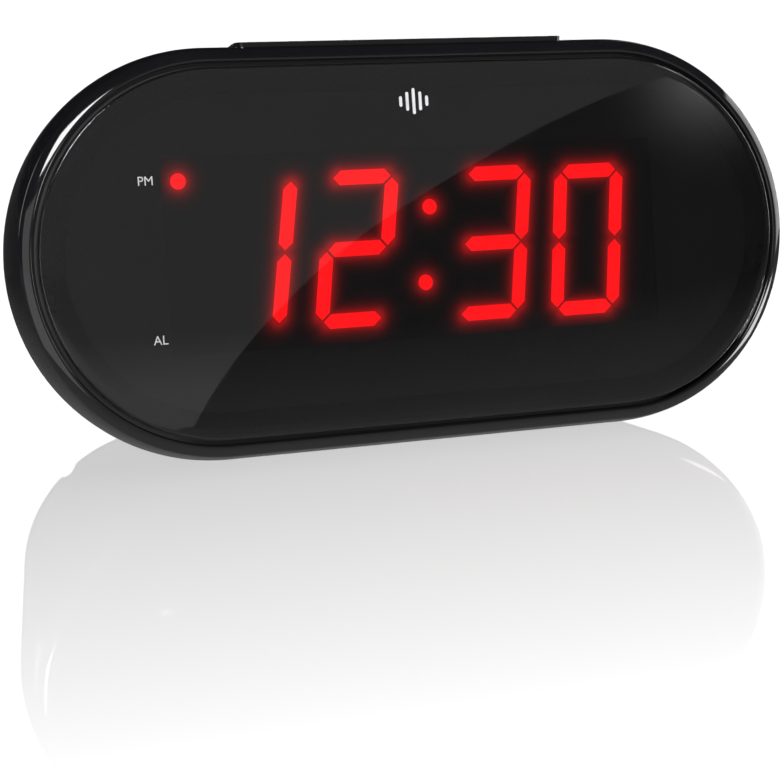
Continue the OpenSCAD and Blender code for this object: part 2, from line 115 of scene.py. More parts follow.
def mixColour(tree, shader, factor, dark, light):
    mix = tree.nodes.new("ShaderNodeMix")
    mix.data_type = "RGBA"
    mix.inputs["A"].default_value = (*dark, 1)
    mix.inputs["B"].default_value = (*light, 1)
    tree.links.new(factor, mix.inputs["Factor"])
    tree.links.new(mix.outputs["Result"], shader.inputs["Base Color"])


def mouldedPlastic(name, colour, roughness, grain, bump, wear=0.25):
    mat, tree, shader = newMaterial(name, colour, roughness)
    cloud = noiseNode(tree, 60)
    dark = tuple(c * (1 - wear) for c in colour)
    light = tuple(c * (1 + wear) for c in colour)
    mixColour(tree, shader, cloud.outputs["Fac"], dark, light)
    fine = noiseNode(tree, grain, 6)
    rough = rampNode(tree, fine.outputs["Fac"], roughness * 0.85, roughness * 1.2)
    tree.links.new(rough, shader.inputs["Roughness"])
    addBump(tree, shader, fine.outputs["Fac"], bump, 0.02 * mm)
    return mat


def brushedMetal(name, colour, roughness):
    mat, tree, shader = newMaterial(name, colour, roughness, 1.0)
    fine = noiseNode(tree, 2500, 2)
    tree.links.new(rampNode(tree, fine.outputs["Fac"], roughness * 0.7, roughness * 1.4),
                   shader.inputs["Roughness"])
    addBump(tree, shader, fine.outputs["Fac"], 0.3, 0.01 * mm)
    return mat


def litResin(name, colour, strength):
    mat, tree, shader = newMaterial(name, (0.4, 0.01, 0.01), 0.5)
    cloud = noiseNode(tree, 900, 3)
    glow = rampNode(tree, cloud.outputs["Fac"], strength * 0.93, strength * 1.07)
    shader.inputs["Emission Color"].default_value = (*colour, 1)
    tree.links.new(glow, shader.inputs["Emission Strength"])
    return mat


def smokedAcrylic(name, tint, ior):
    mat, tree, shader = newMaterial(name, tint, 0.0)
    shader.inputs["Transmission Weight"].default_value = 1.0
    shader.inputs["IOR"].default_value = ior
    fine = noiseNode(tree, 300, 4)
    tree.links.new(rampNode(tree, fine.outputs["Fac"], 0.0, 0.02), shader.inputs["Roughness"])
    return mat


# Painted glow: the face emits red light by a per-point attribute, standing in for the light that
# the lit bars spill onto it
def paintedGlow(name, base, colour, strength):
    mat, tree, shader = newMaterial(name, base, 0.6)
    near = tree.nodes.new("ShaderNodeAttribute")
    near.attribute_name = "glow"
    shader.inputs["Emission Color"].default_value = (*colour, 1)
    tree.links.new(mathNode(tree, "MULTIPLY", near.outputs["Fac"], strength),
                   shader.inputs["Emission Strength"])
    fine = noiseNode(tree, 2500, 4)
    addBump(tree, shader, fine.outputs["Fac"], 0.08, 0.02 * mm)
    return mat


finishes = {
    "front_gloss": mouldedPlastic("glossBlack", (0.006, 0.006, 0.007), 0.07, 1500, 0.02),
    "rear_gloss": mouldedPlastic("rearBlack", (0.009, 0.009, 0.010), 0.16, 1800, 0.06),
    "smoked_lens": smokedAcrylic("smokedAcrylic", (0.30, 0.30, 0.32), 1.62),
    "adhesive": mouldedPlastic("foamTape", (0.022, 0.022, 0.023), 0.9, 3000, 0.1),
    "display_black": mouldedPlastic("displayBlack", (0.010, 0.010, 0.011), 0.6, 2500, 0.3),
    "lit_red": litResin("litResin", (1.0, 0.003, 0.005), 2.2),
    "unlit_red": mouldedPlastic("unlitResin", (0.010, 0.008, 0.008), 0.5, 1500, 0.1),
    "board_green": mouldedPlastic("boardGreen", (0.02, 0.16, 0.05), 0.35, 900, 0.1),
    "steel": brushedMetal("zincSteel", (0.6, 0.6, 0.62), 0.3),
    "rubber": mouldedPlastic("footRubber", (0.02, 0.02, 0.02), 0.75, 2500, 0.5),
    "key_black": mouldedPlastic("keyBlack", (0.012, 0.012, 0.013), 0.32, 2600, 0.3),
    "chip_black": mouldedPlastic("chipEpoxy", (0.02, 0.02, 0.022), 0.6, 2600, 0.4),
    "capacitor_blue": mouldedPlastic("sleeveBlue", (0.02, 0.04, 0.13), 0.3, 900, 0.1),
    "plated_metal": brushedMetal("platedMetal", (0.75, 0.75, 0.76), 0.25),
    "beige_plastic": mouldedPlastic("naturalNylon", (0.6, 0.55, 0.42), 0.5, 900, 0.2),
    "brown_phenolic": mouldedPlastic("phenolic", (0.28, 0.15, 0.06), 0.45, 900, 0.2),
    "speaker_steel": brushedMetal("basketSteel", (0.25, 0.25, 0.27), 0.4),
    "magnet_grey": mouldedPlastic("magnetFerrite", (0.06, 0.06, 0.065), 0.6, 1200, 0.4),
    "cone_paper": mouldedPlastic("conePaper", (0.03, 0.03, 0.032), 0.85, 700, 0.8),
    "surround_foam": mouldedPlastic("surroundRubber", (0.02, 0.02, 0.02), 0.7, 1500, 0.3),
    "speaker_cloth": mouldedPlastic("grilleCloth", (0.02, 0.02, 0.02), 0.95, 3000, 1.0),
    "ferrite": mouldedPlastic("ferriteRod", (0.03, 0.03, 0.035), 0.5, 1500, 0.3),
    "copper": brushedMetal("copperWire", (0.75, 0.35, 0.15), 0.3),
    "cable_grey": mouldedPlastic("ribbonGrey", (0.5, 0.5, 0.52), 0.5, 900, 0.2),
    # Finishes that only the finer pieces here have
    "plate_print": mouldedPlastic("platePrint", (0.022, 0.022, 0.023), 0.6, 2500, 0.03),
    # Painted glow: the light spill round the lit bars, as emission on the display face
    "display_glow": paintedGlow("paintedBarGlow", (0.010, 0.010, 0.011), (1.0, 0.01, 0.012), 0.6),
    "lens_back": smokedAcrylic("lensBack", (0.85, 0.85, 0.85), 1.0),
    "label_ink": mouldedPlastic("labelInk", (0.5, 0.5, 0.5), 0.5, 2500, 0.1),
    "mark_silver": mouldedPlastic("markSilver", (0.66, 0.66, 0.68), 0.3, 2500, 0.1),
}
slotOf = {part["node"]: part["material_slot"] for part in frame["record"]["subparts"]}

def arc(centre, radius, start, end, steps):
    # Angles in degrees; 0 points outward and 90 into the cabinet
    turns = [radians(start + (end - start) * i / steps) for i in range(steps + 1)]
    return [(centre[0] + radius * cos(a), centre[1] + radius * sin(a)) for a in turns]


def newPiece(name, bm, finish):
    # Every new piece rides on the cabinet
    bmesh.ops.recalc_face_normals(bm, faces=bm.faces)
    mesh = bpy.data.meshes.new(name)
    bm.to_mesh(mesh)
    bm.free()
    mesh.shade_smooth()
    mesh.set_sharp_from_angle(angle=sharpAngle)
    piece = bpy.data.objects.new(name, mesh)
    bpy.context.scene.collection.objects.link(piece)
    piece.data.materials.append(finishes[finish])
    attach(piece, "cabinet")
    return piece


shell = {"lensR": 34.65, "flatHalf": 41.65, "lensT": 2.5, "lensEdge": 0.4, "plateFront": 2.75,
         "plateBack": 4.35, "rimOut": 4.35, "rimDepth": 8.7, "crownR": 24.7, "beadR": 1.2,
         "beadDepth": 2.2, "parting": 12.0, "innerR": 36.55, "ledge": 3.0, "backDepth": 60.0,
         "taper": 13, "backRound": 8.0, "wall": 2.2, "seam": 0.15, "capRing": 2.0,
         "endSteps": 180, "flatSteps": 12, "beadSteps": 10, "crownSteps": 20, "lensSteps": 8,
         "taperSteps": 6, "backSteps": 14}
crown = (shell["lensR"] + shell["rimOut"] - shell["crownR"], shell["rimDepth"])
beadReach = shell["crownR"] - shell["beadR"]
beadDrop = shell["rimDepth"] - shell["beadDepth"]
bead = (crown[0] + sqrt(beadReach ** 2 - beadDrop ** 2), shell["beadDepth"])
taper = radians(shell["taper"])
backY = shell["backDepth"] - shell["backRound"]
backR = (crown[0] * cos(taper) + crown[1] * sin(taper) + shell["crownR"] - shell["backRound"]
         - backY * sin(taper)) / cos(taper)


def sweepPill(bm, section, loop=True, capFirst=False, capLast=False):
    # Carries a section of (distance from the long axis, depth) points round the pill
    steps = shell["endSteps"]
    half = shell["flatHalf"]
    stations = [(half, -90 + 180 * i / steps) for i in range(steps + 1)]
    stations += [(half - 2 * half * i / shell["flatSteps"], 90)
                 for i in range(1, shell["flatSteps"])]
    stations += [(-half, 90 + 180 * i / steps) for i in range(steps + 1)]
    stations += [(-half + 2 * half * i / shell["flatSteps"], 270)
                 for i in range(1, shell["flatSteps"])]
    rings = []
    for x, angle in stations:
        c, s = cos(radians(angle)), sin(radians(angle))
        rings.append([bm.verts.new(toFace @ Vector((x + r * c, y, r * s))) for r, y in section])
    count = len(section) if loop else len(section) - 1
    for a, b in zip(rings, rings[1:] + rings[:1]):
        for i in range(count):
            j = (i + 1) % len(section)
            bm.faces.new((a[i], a[j], b[j], b[i]))
    if capFirst:
        bm.faces.new([ring[0] for ring in rings])
    if capLast:
        bm.faces.new([ring[-1] for ring in rings])


def addPrism(bm, outline, place, low, high):
    # A closed prism; place turns (u, v, height) in millimetres into a face-frame point
    under = [bm.verts.new(toFace @ Vector(place(u, v, low))) for u, v in outline]
    over = [bm.verts.new(toFace @ Vector(place(u, v, high))) for u, v in outline]
    bm.faces.new(under[::-1])
    bm.faces.new(over)
    for i in range(len(outline)):
        j = (i + 1) % len(outline)
        bm.faces.new((under[i], under[j], over[j], over[i]))


def intoFace(u, v, h):
    return (u, h, v)


def upFace(u, v, h):
    return (u, v, h)


def roundRect(cx, cy, w, h, r, steps=6):
    points = []
    for sx, sy, start in ((1, 1, 0), (-1, 1, 90), (-1, -1, 180), (1, -1, 270)):
        middle = (cx + sx * (w / 2 - r), cy + sy * (h / 2 - r))
        points += arc(middle, r, start, start + 90, steps)
    return points


def ring(cx, cy, r, steps=32):
    return arc((cx, cy), r, 0, 360, steps)[:-1]


def cutBy(piece, bm):
    bmesh.ops.recalc_face_normals(bm, faces=bm.faces)
    mesh = bpy.data.meshes.new("cutter")
    bm.to_mesh(mesh)
    bm.free()
    cutter = bpy.data.objects.new("cutter", mesh)
    bpy.context.scene.collection.objects.link(cutter)
    cut = piece.modifiers.new("cut", "BOOLEAN")
    cut.operation = "DIFFERENCE"
    cut.solver = "EXACT"
    cut.object = cutter
    bpy.context.view_layer.update()
    depsgraph = bpy.context.evaluated_depsgraph_get()
    result = bpy.data.meshes.new_from_object(piece.evaluated_get(depsgraph))
    piece.modifiers.clear()
    piece.data = result
    bpy.data.objects.remove(cutter)
    result.shade_smooth()
    result.set_sharp_from_angle(angle=sharpAngle)


beadFace = {"innerR": 0.45, "outerR": 0.6, "turns": (-180, -76, -56)}


def beadCurve(join):
    # From the groove wall over a nearly flat face, and into the crown without a kink
    turns = beadFace["turns"] + (-join,)
    wide = [cos(radians(b)) - cos(radians(a)) for a, b in zip(turns, turns[1:])]
    innerR, outerR = beadFace["innerR"], beadFace["outerR"]
    span = shell["beadR"] * (1 + cos(radians(join)))
    faceR = (span - innerR * wide[0] - outerR * wide[2]) / wide[1]
    end = (bead[0] + shell["beadR"] * cos(radians(join)),
           bead[1] - shell["beadR"] * sin(radians(join)))
    points = []
    for radius, a, b in ((outerR, turns[2], turns[3]), (faceR, turns[1], turns[2]),
                         (innerR, turns[0], turns[1])):
        centre = (end[0] - radius * cos(radians(b)), end[1] - radius * sin(radians(b)))
        part = arc(centre, radius, a, b, shell["beadSteps"])
        points = part[:-1] + points
        end = part[0]
    return points


def rimSection():
    # The angle at which the bead runs into the crown
    join = 180 / pi * atan2(beadDrop, sqrt(beadReach ** 2 - beadDrop ** 2))
    parting = shell["parting"]
    last = 180 / pi * atan2(parting - shell["seam"] - crown[1], shell["crownR"])
    flank = arc(crown, shell["crownR"], -join, last, shell["crownSteps"])
    points = [(bead[0] - shell["beadR"], shell["plateFront"])]
    points += beadCurve(join) + flank
    points += [(flank[-1][0] - shell["seam"], parting), (shell["innerR"], parting)]
    points += [(shell["innerR"], shell["plateBack"])]
    points += [(shell["lensR"] - shell["ledge"], shell["plateBack"])]
    points += [(shell["lensR"] - shell["ledge"], shell["plateFront"])]
    return points


snooze = {"w": 68.4, "d": 12.8, "front": 6.65, "corner": 1.5, "gap": 0.3, "low": 34.7, "high": 50}
window = {"x": -1.3, "w": 102.0, "h": 37.0, "corner": 0.4, "cutTo": 10}
plate = {"reach": 0.3, "ahead": 0.05, "thick": 0.04, "edgeGap": 0.01}
pane = {"backEase": 0.1, "backSlack": 0.02}


def snoozeCutter(bm):
    middle = snooze["front"] + snooze["d"] / 2
    grow = 2 * snooze["gap"]
    outline = roundRect(0, middle, snooze["w"] + grow, snooze["d"] + grow,
                        snooze["corner"] + snooze["gap"])
    addPrism(bm, outline, upFace, snooze["low"], snooze["high"])


def buildRim():
    bm = bmesh.new()
    sweepPill(bm, rimSection())
    rim = newPiece("rimShell", bm, "front_gloss")
    bm = bmesh.new()
    snoozeCutter(bm)
    cutBy(rim, bm)
    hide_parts("front_bezel")


def buildPlate():
    # The print reaches over the ledge, as far as the groove
    bm = bmesh.new()
    edge = shell["lensR"] - shell["ledge"] - plate["edgeGap"]
    wide = shell["lensR"] + plate["reach"]
    front = shell["plateFront"] - plate["ahead"]
    behind = front + plate["thick"]
    section = [(wide, front), (wide, behind), (edge, behind), (edge, shell["plateBack"])]
    sweepPill(bm, section, loop=False, capFirst=True, capLast=True)
    facePlate = newPiece("facePlate", bm, "plate_print")
    bm = bmesh.new()
    outline = roundRect(window["x"], 0, window["w"], window["h"], window["corner"])
    addPrism(bm, outline, intoFace, 0, window["cutTo"])
    cutBy(facePlate, bm)


def buildPane():
    bm = bmesh.new()
    e = shell["lensEdge"]
    r, t = shell["lensR"], shell["lensT"]
    inner = r - shell["capRing"]
    section = [(inner, 0)] + arc((r - e, e), e, -90, 0, shell["lensSteps"])
    section += [(r, t - pane["backEase"]), (r - pane["backEase"], t), (inner, t)]
    sweepPill(bm, section, loop=False, capFirst=True, capLast=True)
    lensPane = newPiece("lensPane", bm, "smoked_lens")
    # The bonded back face sends nothing back; only the hard front face mirrors
    lensPane.data.materials.append(finishes["lens_back"])
    fromWorld = toFace.inverted()
    for polygon in lensPane.data.polygons:
        if (fromWorld @ polygon.center).y > t - pane["backSlack"]:
            polygon.material_index = 1
    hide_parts("lens")
    lensPane.visible_glossy = False


# Each digit has its middle, its lean in degrees and how far it sits below the lens's middle
display = {"digits": ((-35.3, 9, 0.35), (-14.5, 8, 0.45), (13.9, 7, 0.9), (34.6, 5.5, 1.3)),
           "lit": ("bc", "abged", "abgcd", "abcdef"), "h": 30.0, "w": 15.2, "bar": 2.8,
           "gap": 0.32, "front": 2.74, "unlitFront": 2.86, "back": 4.0, "ease": 0.08,
           "easeMid": 0.3, "colon": (0.1, 7.3, 0.5), "colonSlant": 7, "dotR": 1.5,
           "lamps": ((-49.0, 13.9), (-48.2, -14.6)),
           "glowReach": 0.8, "glowPitch": 0.5, "glowDepth": 2.80}


def barEnds(letter):
    u = (display["w"] - display["bar"]) / 2
    v = (display["h"] - display["bar"]) / 2
    ends = {"a": ((-u, v), (u, v)), "b": ((u, v), (u, 0)), "c": ((u, 0), (u, -v)),
            "d": ((-u, -v), (u, -v)), "e": ((-u, 0), (-u, -v)), "f": ((-u, v), (-u, 0)),
            "g": ((-u, 0), (u, 0))}
    return ends[letter]


def leanOver(x, z, slant):
    return (x + z * tan(radians(slant)), z)


def barOutline(letter, digit):
    centre, slant, drop = digit
    (px, pz), (qx, qz) = barEnds(letter)
    length = sqrt((qx - px) ** 2 + (qz - pz) ** 2)
    dx, dz = (qx - px) / length, (qz - pz) / length
    half, gap = display["bar"] / 2, display["gap"]
    points = []
    for along, side in ((gap, 0), (gap + half, 1), (length - gap - half, 1), (length - gap, 0),
                        (length - gap - half, -1), (gap + half, -1)):
        x = px + dx * along - dz * half * side
        z = pz + dz * along + dx * half * side
        sx, sz = leanOver(x, z, slant)
        points.append((sx + centre, sz - drop))
    return points


def eachBar(lit):
    for digit, letters in zip(display["digits"], display["lit"]):
        for letter in "abcdefg":
            if (letter in letters) == lit:
                yield digit, letter


def colonDots():
    x, z, drop = display["colon"]
    spots = (leanOver(x, side * z, display["colonSlant"]) for side in (-1, 1))
    return [(a, b - drop) for a, b in spots]


def softPrism(bm, outline, front):
    # A prism whose front edge is eased, so that each bar looks cast and not cut
    cx = sum(p[0] for p in outline) / len(outline)
    cz = sum(p[1] for p in outline) / len(outline)
    span = max(sqrt((p[0] - cx) ** 2 + (p[1] - cz) ** 2) for p in outline)
    edge = display["ease"]
    mid = edge * display["easeMid"]
    layers = ((display["back"], 0), (front + edge, 0), (front + mid, mid), (front, edge))
    rings = []
    for depth, inset in layers:
        k = 1 - inset / span
        rings.append([bm.verts.new(toFace @ Vector((cx + (x - cx) * k, depth, cz + (z - cz) * k)))
                      for x, z in outline])
    for a, b in zip(rings, rings[1:]):
        for i in range(len(outline)):
            j = (i + 1) % len(outline)
            bm.faces.new((a[i], a[j], b[j], b[i]))
    bm.faces.new(rings[0][::-1])
    bm.faces.new(rings[-1])


def buildBars(name, outlines, slot, node):
    bm = bmesh.new()
    front = display["front"] if slot == "lit_red" else display["unlitFront"]
    for outline in outlines:
        softPrism(bm, outline, front)
    piece = newPiece(name, bm, slot)
    piece.visible_glossy = False
    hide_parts(node)


def barDistance(x, z, letter, digit):
    centre, slant, drop = digit
    (px, pz), (qx, qz) = barEnds(letter)
    sz = z + drop
    sx = x - centre - sz * tan(radians(slant))
    length = sqrt((qx - px) ** 2 + (qz - pz) ** 2)
    dx, dz = (qx - px) / length, (qz - pz) / length
    along = (sx - px) * dx + (sz - pz) * dz
    half = display["bar"] / 2
    t = min(max(along, half), length - half)
    return sqrt((sx - px - dx * t) ** 2 + (sz - pz - dz * t) ** 2) - half


def glowAt(x, z):
    found = [barDistance(x, z, letter, digit) for digit, letter in eachBar(True)]
    spots = colonDots() + [display["lamps"][0]]
    found += [sqrt((x - a) ** 2 + (z - b) ** 2) - display["dotR"] for a, b in spots]
    return exp(-max(min(found), 0) / display["glowReach"])


def buildGlow():
    # The module's face, with the light that the lit bars spill onto it painted on as emission:
    # each point holds how near the nearest lit bar is
    pitch = display["glowPitch"]
    columns = int(window["w"] / pitch)
    rows = int(window["h"] / pitch)
    bm = bmesh.new()
    grid = []
    values = []
    for j in range(rows + 1):
        z = (j - rows / 2) * pitch
        line = []
        for i in range(columns + 1):
            x = window["x"] + (i - columns / 2) * pitch
            line.append(bm.verts.new(toFace @ Vector((x, display["glowDepth"], z))))
            values.append(glowAt(x, z))
        grid.append(line)
    for low, high in zip(grid, grid[1:]):
        for i in range(columns):
            bm.faces.new((low[i], low[i + 1], high[i + 1], high[i]))
    skin = newPiece("paintedGlowSheet", bm, "display_glow")
    skin.visible_glossy = False
    glow = skin.data.attributes.new("glow", "FLOAT", "POINT")
    glow.data.foreach_set("value", values)


def buildDisplay():
    buildBars("litBars", [barOutline(letter, digit) for digit, letter in eachBar(True)],
              "lit_red", "lit_segments")
    buildBars("unlitBars", [barOutline(letter, digit) for digit, letter in eachBar(False)],
              "unlit_red", "unlit_segments")
    buildBars("colonDots", [ring(x, z, display["dotR"]) for x, z in colonDots()],
              "lit_red", "colon_dots")
    pm, alarm = display["lamps"]
    buildBars("pmLamp", [ring(*pm, display["dotR"])], "lit_red", "pm_lamp")
    buildBars("alarmLamp", [ring(*alarm, display["dotR"])], "unlit_red", "alarm_lamp")
    buildGlow()


printed = {"capHeight": 1.75, "capShare": 0.72, "ahead": 0.01, "thick": 0.008,
           "labels": (("PM", -55.65, 14.05), ("AL", -54.8, -15.25)),
           "markAt": (-1.6, 27.1), "markBars": (2.0, 3.6, 5.0, 3.6, 2.0), "markPitch": 1.35,
           "markBar": 0.62, "markRound": 0.49, "markSteps": 8}


def buildLabel(word, x, z):
    text = bpy.data.curves.new("label" + word, "FONT")
    text.body = word
    text.size = printed["capHeight"] * mm / printed["capShare"]
    text.align_x = "CENTER"
    text.align_y = "CENTER"
    text.extrude = printed["thick"] / 2 * mm
    label = bpy.data.objects.new("label" + word, text)
    bpy.context.scene.collection.objects.link(label)
    # Stood upright, and then leaned with the lens
    stand = Matrix.Rotation(radians(90), 4, "X")
    spot = toFace @ Vector((x, -printed["ahead"], z))
    label.matrix_world = Matrix.Translation(spot) @ turn @ stand
    label.data.materials.append(finishes["label_ink"])
    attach(label, "cabinet")


def buildMark():
    # Five plain upright bars, like a sound level
    bm = bmesh.new()
    cx, cz = printed["markAt"]
    w = printed["markBar"]
    for i, height in enumerate(printed["markBars"]):
        x = cx + (i - 2) * printed["markPitch"]
        outline = roundRect(x, cz, w, height, w * printed["markRound"], printed["markSteps"])
        addPrism(bm, outline, intoFace, -printed["thick"] - printed["ahead"], 0.0)
    newPiece("plainMark", bm, "mark_silver")


controls = {"keyPitch": 14.0, "keyY": 26.0, "keySize": (11.0, 6.6), "keyLow": 28.0, "gap": 0.3,
            "wheelR": 9.7, "wheelAt": (68.97, 9.41), "wheelY": 24.0, "wheelHalf": 2.3,
            "sliderX": (2.0, 26.0), "sliderZ": 9.0, "slot": (11.8, 3.8), "jackAt": (50.0, -9.0),
            "jackR": 4.4, "towerAt": (60.0, 20.0), "screwR": 2.7, "screwSeat": 26.0,
            "speakerX": -36.0, "grillePitch": 3.2, "grilleR": 0.9, "grilleReach": 17.1,
            "grilleHalf": 6, "keyCorner": 1.5, "slotCorner": 0.5, "cutIn": 6, "cutOut": 1,
            "screwOut": 5, "lipWide": 0.25, "lipDeep": 0.01}


def rearSection(inset):
    first = 180 / pi * atan2(shell["parting"] - crown[1], shell["crownR"] - inset)
    flank = arc(crown, shell["crownR"] - inset, first, shell["taper"], shell["taperSteps"])
    corner = arc((backR, backY), shell["backRound"] - inset, shell["taper"], 90,
                 shell["backSteps"])
    return flank + corner + [(backR - shell["capRing"], shell["backDepth"] - inset)]


def rearCutters(bm):
    snoozeCutter(bm)
    w, d = (s + 2 * controls["gap"] for s in controls["keySize"])
    for i in range(-2, 3):
        outline = roundRect(i * controls["keyPitch"], controls["keyY"], w, d,
                            controls["keyCorner"])
        addPrism(bm, outline, upFace, controls["keyLow"], snooze["high"])
    x, z = controls["wheelAt"]
    low = controls["wheelY"] - controls["wheelHalf"]
    for side in (-1, 1):
        addPrism(bm, ring(x, side * z, controls["wheelR"], 64), intoFace, low,
                 low + 2 * controls["wheelHalf"])
    low, high = shell["backDepth"] - controls["cutIn"], shell["backDepth"] + controls["cutOut"]
    for x in controls["sliderX"]:
        outline = roundRect(x, controls["sliderZ"], *controls["slot"], controls["slotCorner"])
        addPrism(bm, outline, intoFace, low, high)
    addPrism(bm, ring(*controls["jackAt"], controls["jackR"], 48), intoFace, low, high)
    x, z = controls["towerAt"]
    for sx in (-1, 1):
        for sz in (-1, 1):
            addPrism(bm, ring(sx * x, sz * z, controls["screwR"], 40), intoFace,
                     controls["screwSeat"], shell["backDepth"] + controls["screwOut"])
    pitch = controls["grillePitch"]
    half = controls["grilleHalf"]
    for i in range(-half, half + 1):
        for j in range(-half, half + 1):
            if sqrt(i * i + j * j) * pitch < controls["grilleReach"]:
                hole = ring(controls["speakerX"] + i * pitch, j * pitch, controls["grilleR"], 16)
                addPrism(bm, hole, intoFace, low, high)


def buildRear():
    bm = bmesh.new()
    outer = rearSection(0)
    inner = rearSection(shell["wall"])
    seam = shell["seam"]
    lip = [(outer[0][0] - controls["lipWide"], shell["parting"] + controls["lipDeep"]),
           (outer[0][0], shell["parting"] + seam)]
    sweepPill(bm, lip + outer[1:], loop=False, capLast=True)
    sweepPill(bm, inner, loop=False, capLast=True)
    # The flat edge that joins the two skins behind the seam
    sweepPill(bm, [lip[0], inner[0]], loop=False)
    bmesh.ops.remove_doubles(bm, verts=bm.verts, dist=weldGap)
    rear = newPiece("rearShell", bm, "rear_gloss")
    bm = bmesh.new()
    rearCutters(bm)
    cutBy(rear, bm)
    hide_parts("rear_housing")


# How far the outer edges of the frame's own nodes are eased, in mm
edgeRadius = {
    "snooze_bar": 0.35, "hour_key": 0.4, "minute_key": 0.4, "time_key": 0.4, "alarm_key": 0.4,
    "sleep_key": 0.4, "function_slider": 0.3, "band_slider": 0.3, "battery_door": 0.15,
    "rubber_feet": 0.3, "dc_jack": 0.15, "volume_wheel": 0.15, "tuning_wheel": 0.15,
}


def finishNode(name):
    piece = nodes[name]
    piece.data.materials.clear()
    piece.data.materials.append(finishes[slotOf[name]])
    for polygon in piece.data.polygons:
        polygon.use_smooth = True
    weld = piece.modifiers.new("weld", "WELD")
    weld.merge_threshold = weldGap
    if name in edgeRadius:
        bevel = piece.modifiers.new("edges", "BEVEL")
        bevel.width = edgeRadius[name] * mm
        bevel.segments = 3
        bevel.limit_method = "ANGLE"
        bevel.angle_limit = sharpAngle
        bevel.use_clamp_overlap = True
    normals = piece.modifiers.new("normals", "WEIGHTED_NORMAL")
    normals.keep_sharp = True


for name in nodes:
    finishNode(name)
print("CAD nodes finished")
buildRim()
buildPlate()
buildPane()
print("front built")
buildDisplay()
print("display built")
for label in printed["labels"]:
    buildLabel(*label)
buildMark()
buildRear()
print("rear built")

view = {"place": (-151.6, -360.2, 58.8), "yaw": 21.74, "pitch": -12.78, "lens": 93.55,
        "sensor": 36, "clip": 0.01}


def addCamera():
    data = bpy.data.cameras.new("camera")
    data.lens = view["lens"]
    data.sensor_width = view["sensor"]
    data.clip_start = view["clip"]
    camera = bpy.data.objects.new("camera", data)
    camera.location = lensFront + Vector(view["place"]) * mm
    camera.rotation_euler = (radians(90 + view["pitch"]), 0, -radians(view["yaw"]))
    bpy.context.scene.collection.objects.link(camera)
    bpy.context.scene.camera = camera


# The polish grows from mirrorFrom to mirrorTo along y, and ends behind and beside the clock
paleFloor = {"half": 3.0, "tint": 0.8, "matt": 0.9, "mirror": 0.42, "mirrorFrom": -0.165,
             "mirrorTo": -0.02, "mirrorFade": 0.66, "behindFrom": 0.03, "behindTo": 0.22,
             "leftFade": (-0.17, -0.12), "rightFade": (0.085, 0.10)}


def addFloor():
    # Pale and matt, with a polish that dies away towards the viewer
    half = paleFloor["half"]
    mesh = bpy.data.meshes.new("floor")
    mesh.from_pydata([(-half, -half, 0), (half, -half, 0), (half, half, 0), (-half, half, 0)],
                     [], [(0, 1, 2, 3)])
    floor = bpy.data.objects.new("floor", mesh)
    bpy.context.scene.collection.objects.link(floor)
    tint = paleFloor["tint"]
    mat, tree, shader = newMaterial("paleFloor", (tint, tint, tint), paleFloor["matt"])
    shader.inputs["Specular IOR Level"].default_value = 0.0
    polish = tree.nodes.new("ShaderNodeBsdfGlossy")
    polish.inputs["Roughness"].default_value = 0.0
    polish.inputs["Color"].default_value = (1, 1, 1, 1)
    coord = tree.nodes.new("ShaderNodeTexCoord")
    parts = tree.nodes.new("ShaderNodeSeparateXYZ")
    tree.links.new(coord.outputs["Object"], parts.inputs["Vector"])
    near = rampNode(tree, parts.outputs["Y"], 0.0, 1.0, paleFloor["mirrorFrom"],
                    paleFloor["mirrorTo"])
    fade = mathNode(tree, "POWER", near, paleFloor["mirrorFade"])
    behind = rampNode(tree, parts.outputs["Y"], paleFloor["mirror"], 0.0,
                      paleFloor["behindFrom"], paleFloor["behindTo"])
    left = rampNode(tree, parts.outputs["X"], 0.0, 1.0, *paleFloor["leftFade"])
    right = rampNode(tree, parts.outputs["X"], 1.0, 0.0, *paleFloor["rightFade"])
    amount = timesNode(tree, timesNode(tree, fade, behind), timesNode(tree, left, right))
    blend = tree.nodes.new("ShaderNodeMixShader")
    out = tree.nodes["Material Output"]
    tree.links.new(amount, blend.inputs["Fac"])
    tree.links.new(shader.outputs["BSDF"], blend.inputs[1])
    tree.links.new(polish.outputs["BSDF"], blend.inputs[2])
    tree.links.new(blend.outputs["Shader"], out.inputs["Surface"])
    floor.data.materials.append(mat)
    floor.visible_glossy = False
    floor.visible_shadow = False
    return floor


def lightGroup(name, floor, state):
    group = bpy.data.collections.new(name)
    group.objects.link(floor)
    group.collection_objects[0].light_linking.link_state = state
    return group


def addLight(kind, name, place, aim, group):
    data = bpy.data.lights.new(name, kind)
    lamp = bpy.data.objects.new(name, data)
    lamp.location = place
    lamp.rotation_euler = (Vector(aim) - Vector(place)).to_track_quat("-Z", "Y").to_euler()
    bpy.context.scene.collection.objects.link(lamp)
    lamp.light_linking.receiver_collection = group
    lamp.visible_camera = False
    return lamp


def addBox(name, place, aim, size, radiance, group):
    # A soft box of the given brightness; its power follows from its size
    lamp = addLight("AREA", name, place, aim, group)
    lamp.data.shape = "RECTANGLE"
    lamp.data.size, lamp.data.size_y = size
    lamp.data.energy = radiance * pi * size[0] * size[1]
    return lamp


# Two suns for the floor alone, and a white room for its mirror: only shade casts shadows
floorLights = {"suns": {"wash": (3.95, 1), "shade": (0.2, 100)}, "sunHeight": 3,
               "wallAway": 3.2, "wallHeight": 3.8, "wallSpare": 0.2, "wallGlow": 1.05}


